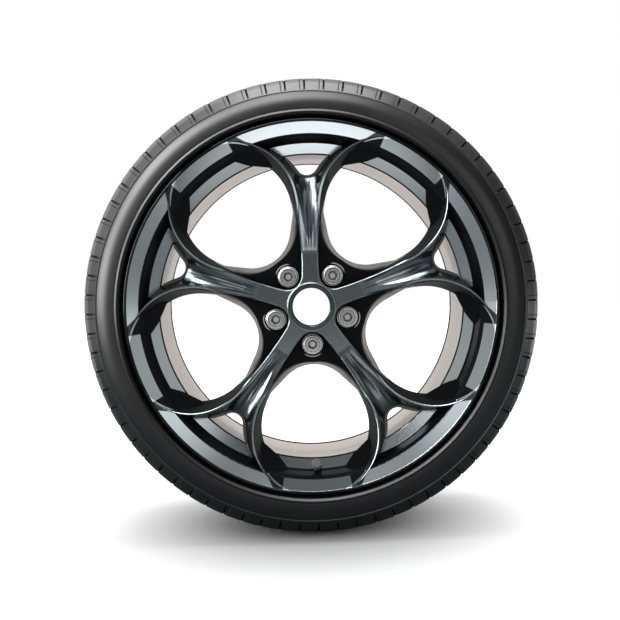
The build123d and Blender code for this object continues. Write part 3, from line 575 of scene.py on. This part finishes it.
    # painted shade: the panels are darker inside the holes
    shaded_pale_in_hole = blend(tree, brushed, SHADED_HOLE_PANEL_DARK, SHADED_HOLE_PANEL_LIGHT)
    pale = blend(tree, outside_hole, shaded_pale_in_hole, pale)
    # the barrel pale beige, partly as a painted reflection of the white backdrop
    cast = blend(tree, mottle, CAST_DARK, CAST_LIGHT)
    # painted shade on the rear flare
    cast = blend(tree, flare, cast, FLARE_SHADE_COLOUR)
    colour = blend(tree, panel, lacquer, pale)
    colour = blend(tree, barrel, colour, cast)
    tree.links.new(colour, shader.inputs["Base Color"])
    matt = calc(tree, "MAXIMUM", barrel, web_edge_reflection)
    metal = calc(tree, "MAXIMUM", shown, panel)
    metal = between(tree, calc(tree, "SUBTRACT", metal, matt, clamp=True), METAL_LEAST, METAL_MOST)
    tree.links.new(metal, shader.inputs["Metallic"])
    gloss = between(tree, panel, LACQUER_ROUGHNESS, PANEL_ROUGHNESS)
    gloss = calc(tree, "MAXIMUM", gloss, calc(tree, "MULTIPLY", matt, MATT_ROUGHNESS))
    uneven = product(tree, calc(tree, "SUBTRACT", mottle, 0.5), opposite(tree, panel))
    gloss = calc(tree, "MULTIPLY_ADD", uneven, MOTTLE_ROUGHNESS, gloss)
    tree.links.new(gloss, shader.inputs["Roughness"])
    tree.links.new(calc(tree, "MULTIPLY", metal, COAT_SHARE), shader.inputs["Coat Weight"])
    shader.inputs["Coat Roughness"].default_value = COAT_ROUGHNESS
    shader.inputs["Specular IOR Level"].default_value = 0.0
    return material


def tyre_rubber():
    """Satin black rubber with a fine moulded grain and paired slits across the shoulders, the grooves
    and slits painted black as painted shade.
    """
    material, tree, shader = new_material("tyre_rubber")
    place, radius, angle, _ = polar_place(tree)
    cloud = noise(tree, place, CLOUD_SCALE, detail=4.0, roughness=0.6)
    grain = noise(tree, place, RUBBER_GRAIN_SCALE)
    rings = noise(tree, ring_place(tree, angle, radius, RING_ROUND, RING_OUT), 1.0)
    shoulder = band(tree, radius, SLIT_INNER_RADIUS, SLIT_OUTER_RADIUS, SLIT_FADE)
    groove = calc(tree, "ABSOLUTE", fold(tree, angle, GROOVE_ANGLE))
    slit = calc(tree, "ABSOLUTE", fold(tree, angle, GROOVE_ANGLE, SLIT_OFFSET))
    in_groove = opposite(tree, rise(tree, groove, GROOVE_HALF_ANGLE, GROOVE_HALF_ANGLE + SLIT_BLEND))
    past_slit = rise(tree, slit, SLIT_HALF_ANGLE - SLIT_BLEND, SLIT_HALF_ANGLE + SLIT_BLEND)
    in_slit = opposite(tree, past_slit)
    cut = product(tree, shoulder, calc(tree, "MAXIMUM", in_groove, in_slit))
    colour = blend(tree, cloud, RUBBER_DARK, RUBBER_LIGHT)
    # painted shade: the grooves and the painted slits are black
    colour = blend(tree, cut, colour, SLIT_SHADE_BLACK)
    tree.links.new(colour, shader.inputs["Base Color"])
    dry = calc(tree, "MULTIPLY_ADD", cloud, CLOUD_ROUGHNESS, RUBBER_ROUGHNESS)
    dry = calc(tree, "MULTIPLY_ADD", rings, RING_ROUGHNESS, dry)
    dry = calc(tree, "MAXIMUM", dry, cut)
    tree.links.new(dry, shader.inputs["Roughness"])
    shader.inputs["Specular IOR Level"].default_value = RUBBER_SPECULAR
    height = calc(tree, "MULTIPLY_ADD", rings, RING_HEIGHT, grain)
    height = calc(tree, "MULTIPLY_ADD", cut, SLIT_HEIGHT, height)
    emboss(tree, shader, height, strength=0.12, reach=0.15 * MM)
    return material


def plated_steel():
    """Bright plated steel, with a painted highlight on the heads' rims and a painted shade line inside
    it, painted shade inside the bolts' sockets and a painted highlight spot on their floors.
    """
    material, tree, shader = new_material("plated_steel")
    place, radius, angle, along = polar_place(tree)
    fine = noise(tree, place, STEEL_FINE_SCALE, detail=3.0)
    stain = noise(tree, place, STEEL_STAIN_SCALE, detail=3.0)
    turn = fold(tree, angle, BOLT_ANGLE, -pi / 2)
    across, out = sector_place(tree, radius, turn)
    from_axis = from_point(tree, across, out, BOLT_CIRCLE_RADIUS)
    past_socket = rise(tree, from_axis, SOCKET_RADIUS - SOCKET_FADE, SOCKET_RADIUS + SOCKET_FADE)
    inside = opposite(tree, past_socket)
    socket = product(tree, inside, rise(tree, along, SOCKET_DARK_START, SOCKET_DARK_FULL))
    floor = product(tree, inside, rise(tree, along, SOCKET_FLOOR, SOCKET_FLOOR + FADE))
    rim = rise(tree, from_axis, HEAD_RIM_RADIUS, HEAD_RIM_RADIUS + HEAD_RIM_FADE)
    rim_shade_line = band(tree, from_axis, HEAD_RIM_RADIUS - HEAD_LINE_WIDTH, HEAD_RIM_RADIUS, LINE_FADE)
    middle = opposite(tree, rise(tree, from_axis, SOCKET_SPOT_INNER, SOCKET_SPOT_OUTER))
    colour = blend(tree, stain, STEEL_DARK, STEEL_LIGHT)
    # painted highlight on the head's rim, painted shade line inside it
    colour = blend(tree, rim, colour, HEAD_RIM_HIGHLIGHT_COLOUR)
    colour = blend(tree, rim_shade_line, colour, HEAD_LINE_SHADE_COLOUR)
    # painted shade inside the socket, painted highlight spot on its floor
    colour = blend(tree, socket, colour, SOCKET_SHADE_COLOUR)
    colour = blend(tree, product(tree, floor, middle), colour, SOCKET_FLOOR_HIGHLIGHT_COLOUR)
    tree.links.new(colour, shader.inputs["Base Color"])
    tree.links.new(between(tree, floor, STEEL_METAL, SOCKET_FLOOR_METAL), shader.inputs["Metallic"])
    gloss = calc(tree, "MULTIPLY_ADD", fine, STEEL_FINE_ROUGHNESS, STEEL_ROUGHNESS)
    tree.links.new(gloss, shader.inputs["Roughness"])
    emboss(tree, shader, fine, strength=0.06, reach=0.1 * MM)
    return material


def turned_metal(name, dark, light, roughness):
    """Turned metal of the small valve and sensor pieces."""
    material, tree, shader = new_material(name)
    fine = noise(tree, object_place(tree), TURNED_SCALE)
    tree.links.new(blend(tree, fine, dark, light), shader.inputs["Base Color"])
    shader.inputs["Metallic"].default_value = 1.0
    gloss = calc(tree, "MULTIPLY_ADD", fine, TURNED_ROUGHNESS, roughness)
    tree.links.new(gloss, shader.inputs["Roughness"])
    emboss(tree, shader, fine, strength=0.05, reach=0.05 * MM)
    return material


def moulded(name, dark, light, roughness):
    """Moulded plastic or rubber with a fine spark-eroded grain."""
    material, tree, shader = new_material(name)
    place = object_place(tree)
    grain = noise(tree, place, MOULD_GRAIN_SCALE, detail=3.0)
    cloud = noise(tree, place, MOULD_CLOUD_SCALE)
    tree.links.new(blend(tree, cloud, dark, light), shader.inputs["Base Color"])
    gloss = calc(tree, "MULTIPLY_ADD", grain, MOULD_ROUGHNESS, roughness)
    tree.links.new(gloss, shader.inputs["Roughness"])
    emboss(tree, shader, grain, strength=0.15, reach=0.08 * MM)
    return material


def dress(name, material):
    """Gives a CAD piece its finish."""
    piece = nodes[name]
    piece.data.materials.clear()
    piece.data.materials.append(material)


def only(piece):
    """Makes this piece the one selected and active object."""
    bpy.ops.object.select_all(action="DESELECT")
    piece.select_set(True)
    bpy.context.view_layer.objects.active = piece


def merged_copy(node):
    """A copy of a CAD piece with its loose triangles joined, in edit mode with nothing selected."""
    piece = nodes[node].copy()
    piece.data = nodes[node].data.copy()
    piece.parent = None
    piece.name = node + "_shown"
    bpy.context.scene.collection.objects.link(piece)
    only(piece)
    bpy.ops.object.mode_set(mode="EDIT")
    bpy.ops.mesh.select_all(action="SELECT")
    bpy.ops.mesh.remove_doubles(threshold=MERGE_DISTANCE)
    bpy.ops.mesh.customdata_custom_splitnormals_clear()
    bpy.ops.mesh.select_all(action="DESELECT")
    return piece


def thread_ridge(root, crest, pitch, start, length):
    """A thread's ridge about the Y axis: a three-sided strip wound round it, closed at both ends."""
    bpy.ops.object.select_all(action="DESELECT")
    bpy.ops.mesh.primitive_circle_add(vertices=3, radius=1.0, rotation=(0, 0, -pi / 2))
    ridge = bpy.context.object
    bpy.ops.object.transform_apply(rotation=True)
    bpy.ops.object.mode_set(mode="EDIT")
    bpy.ops.mesh.select_all(action="SELECT")
    depth = crest - root
    # the triangle is 1.5 high and the root of 3 wide before it is sized
    shrink = (depth / 1.5, pitch * THREAD_FILL / sqrt(3), 1)
    bpy.ops.transform.resize(value=shrink, center_override=(0, 0, 0))
    bpy.ops.transform.translate(value=(root + depth / 3, start, 0))
    bpy.ops.object.mode_set(mode="OBJECT")
    winding = ridge.modifiers.new("winding", "SCREW")
    winding.axis = "Y"
    winding.screw_offset = pitch
    winding.iterations = int(length / pitch)
    winding.steps = THREAD_STEPS
    winding.render_steps = THREAD_STEPS
    bpy.ops.object.modifier_apply(modifier=winding.name)
    bpy.ops.object.mode_set(mode="EDIT")
    bpy.ops.mesh.select_all(action="SELECT")
    bpy.ops.mesh.fill_holes(sides=3)
    bpy.ops.mesh.normals_make_consistent(inside=False)
    bpy.ops.object.mode_set(mode="OBJECT")
    return ridge


def threaded_bolt(node):
    """The bolt with its shank turned down to the thread's root and the ridge wound on it."""
    low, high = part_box(node)
    axis = Vector(((low[0] + high[0]) / 2, 0, (low[2] + high[2]) / 2))
    bolt = merged_copy(node)
    mesh = bmesh.from_edit_mesh(bolt.data)
    for point in mesh.verts:
        away = Vector((point.co.x - axis.x, 0, point.co.z - axis.z)).length
        point.select = point.co.y > THREAD_START - THREAD_PITCH / 10 and away > THREAD_ROOT
    mesh.select_flush_mode()
    bmesh.update_edit_mesh(bolt.data)
    share = THREAD_ROOT / THREAD_RADIUS
    bpy.ops.transform.resize(value=(share, 1, share), center_override=axis)
    bpy.ops.object.mode_set(mode="OBJECT")
    length = THREAD_END - THREAD_START - THREAD_PITCH
    thread_ridge(THREAD_ROOT - THREAD_SINK, THREAD_RADIUS, THREAD_PITCH, THREAD_START, length)
    bpy.ops.transform.translate(value=axis)
    bpy.ops.object.transform_apply(location=True)
    bolt.select_set(True)
    bpy.context.view_layer.objects.active = bolt
    bpy.ops.object.join()
    bpy.ops.object.shade_smooth_by_angle(angle=EDGE_ANGLE)
    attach(bolt, "wheel")
    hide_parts(node)


def pressed_spring(node):
    """A merged, smooth-shaded copy of the valve core's spring with a mesh of its own, shown in place of
    the CAD piece.
    """
    spring = merged_copy(node)
    bpy.ops.object.mode_set(mode="OBJECT")
    bpy.ops.object.shade_smooth_by_angle(angle=EDGE_ANGLE)
    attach(spring, "wheel")
    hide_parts(node)
    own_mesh(spring)


def lay_floor():
    """A white paper floor that keeps the wheel's shadow, with a painted shadow where its white glow
    fades out near the wheel.
    """
    bpy.ops.object.select_all(action="DESELECT")
    bpy.ops.mesh.primitive_plane_add(size=FLOOR_SIZE, location=(0, 0, FLOOR_HEIGHT))
    floor = bpy.context.object
    floor.name = "studio_floor"
    material, tree, shader = new_material("floor_paper")
    across, along, _ = split(tree, object_place(tree))
    path = add_node(tree, "ShaderNodeLightPath")
    # painted shadow: the floor's glow fades out near the wheel
    clear = rise(tree, distance(tree, across, along), SHADOW_INNER, SHADOW_OUTER)
    # gloss sees the floor bright only in a pool in front of the wheel and behind the wheel
    from_pool = calc(tree, "SUBTRACT", along, POOL_PLACE)
    pool = distance(tree, calc(tree, "MULTIPLY", across, POOL_NARROWING), from_pool)
    pool = opposite(tree, rise(tree, pool, POOL_CORE, POOL_REACH))
    behind = rise(tree, along, BACK_FLOOR_START, BACK_FLOOR_FULL)
    mirrored = calc(tree, "MAXIMUM", pool, behind)
    dim = calc(tree, "MULTIPLY", path.outputs["Is Glossy Ray"], opposite(tree, mirrored))
    tree.links.new(blend(tree, dim, FLOOR_COLOUR, FLOOR_DIMMED), shader.inputs["Base Color"])
    shader.inputs["Roughness"].default_value = FLOOR_ROUGHNESS
    shader.inputs["Specular IOR Level"].default_value = FLOOR_SPECULAR
    seen = calc(tree, "MAXIMUM", path.outputs["Is Camera Ray"], path.outputs["Is Transmission Ray"])
    glow = calc(tree, "MULTIPLY", seen, clear)
    glow = calc(tree, "MAXIMUM", glow, calc(tree, "MULTIPLY", path.outputs["Is Glossy Ray"], mirrored))
    shader.inputs["Emission Color"].default_value = (1, 1, 1, 1)
    tree.links.new(calc(tree, "MULTIPLY", glow, FLOOR_GLOW), shader.inputs["Emission Strength"])
    floor.data.materials.append(material)


def light_world():
    """White to the camera and one level to diffuse rays; gloss sees a dim front with soft boxes."""
    world = bpy.data.worlds.new("studio")
    bpy.context.scene.world = world
    world.use_nodes = True
    tree = world.node_tree
    way = add_node(tree, "ShaderNodeTexCoord").outputs["Generated"]
    across, along, up = split(tree, way)
    level = add_node(tree, "ShaderNodeValToRGB")
    tree.links.new(calc(tree, "MULTIPLY_ADD", up, 0.5, 0.5), level.inputs[0])
    ramp = level.color_ramp
    while len(ramp.elements) < len(ROOM_GREYS):
        ramp.elements.new(0.5)
    for element, (place, grey) in zip(ramp.elements, ROOM_GREYS):
        element.position = place
        element.color = (grey, grey, grey, 1)
    # gloss sees the white backdrop dimmer toward the right
    to_right = rise(tree, across, BACKDROP_LEFT, BACKDROP_RIGHT)
    backdrop = between(tree, to_right, 1.0, BACKDROP_RIGHT_LEVEL)
    behind = product(tree, rise(tree, along, BACKDROP_START, BACKDROP_FULL), backdrop)
    front = add_node(tree, "ShaderNodeRGBToBW")
    tree.links.new(level.outputs[0], front.inputs[0])
    shine = calc(tree, "MAXIMUM", front.outputs[0], behind)
    for aim, outer, inner, power in SOFT_BOXES:
        facing = add_node(tree, "ShaderNodeVectorMath", operation="DOT_PRODUCT")
        tree.links.new(way, facing.inputs[0])
        facing.inputs[1].default_value = Vector(aim).normalized()
        lobe = rise(tree, facing.outputs["Value"], cos(radians(outer)), cos(radians(inner)))
        shine = calc(tree, "MULTIPLY_ADD", lobe, power, shine)
    path = add_node(tree, "ShaderNodeLightPath")
    seen = calc(tree, "MAXIMUM", path.outputs["Is Camera Ray"], path.outputs["Is Transmission Ray"])
    glossy = path.outputs["Is Glossy Ray"]
    plain = calc(tree, "MULTIPLY", opposite(tree, glossy), PLAIN_LEVEL)
    strength = calc(tree, "MULTIPLY_ADD", glossy, shine, plain)
    strength = calc(tree, "MAXIMUM", strength, seen)
    tree.links.new(strength, tree.nodes["Background"].inputs["Strength"])
    tree.nodes["Background"].inputs["Color"].default_value = (1, 1, 1, 1)


def hang_lamp():
    """A wide soft box overhead."""
    lamp = bpy.data.lights.new("top_box", "AREA")
    lamp.shape = "RECTANGLE"
    lamp.size = LAMP_WIDTH
    lamp.size_y = LAMP_HEIGHT
    lamp.energy = LAMP_POWER
    stand = bpy.data.objects.new("top_box", lamp)
    bpy.context.scene.collection.objects.link(stand)
    stand.location = LAMP_PLACE
    stand.rotation_euler = (-Vector(LAMP_PLACE)).to_track_quat("-Z", "Y").to_euler()


def set_camera():
    """The camera at the photo's place."""
    lens = bpy.data.cameras.new("camera")
    lens.sensor_width = SENSOR_WIDTH
    lens.lens = SENSOR_WIDTH * FOCAL_PIXELS / IMAGE_SIZE
    camera = bpy.data.objects.new("camera", lens)
    bpy.context.scene.collection.objects.link(camera)
    turn = Matrix.Rotation(radians(CAMERA_TURN), 4, "Z")
    tip = Matrix.Rotation(radians(CAMERA_TIP), 4, "X")
    roll = Matrix.Rotation(radians(CAMERA_ROLL), 4, "Z")
    camera.matrix_world = Matrix.Translation(CAMERA_PLACE) @ turn @ tip @ roll
    bpy.context.scene.camera = camera
    bpy.context.scene.view_settings.view_transform = "Standard"


lacquer = gunmetal_lacquer()
rubber = tyre_rubber()
steel = plated_steel()
nickel = turned_metal("nickel_plate", *NICKEL)
brass = turned_metal("turned_brass", *BRASS)
spring_wire = turned_metal("spring_wire", *SPRING_WIRE)
seal_rubber = moulded("seal_rubber", *SEAL_RUBBER)
cap_plastic = moulded("cap_plastic", *CAP_PLASTIC)
sensor_plastic = moulded("sensor_plastic", *SENSOR_PLASTIC)

finishes = {
    "alloy_wheel": lacquer,
    "tyre": rubber,
    "valve_cap": cap_plastic,
    "cap_seal": seal_rubber,
    "valve_stem": nickel,
    "valve_washer": nickel,
    "valve_nut": nickel,
    "valve_grommet": seal_rubber,
    "valve_core_body": brass,
    "valve_core_pin": brass,
    "valve_core_seal": seal_rubber,
    "valve_core_spring": spring_wire,
    "pressure_sensor": sensor_plastic,
    "sensor_screw": spring_wire,
}
for number in range(1, BOLT_COUNT + 1):
    finishes[f"wheel_bolt_{number}"] = steel
    finishes[f"bolt_collar_{number}"] = steel
for name, material in finishes.items():
    dress(name, material)
for number in range(1, BOLT_COUNT + 1):
    threaded_bolt(f"wheel_bolt_{number}")
pressed_spring("valve_core_spring")

lay_floor()
light_world()
hang_lamp()
set_camera()
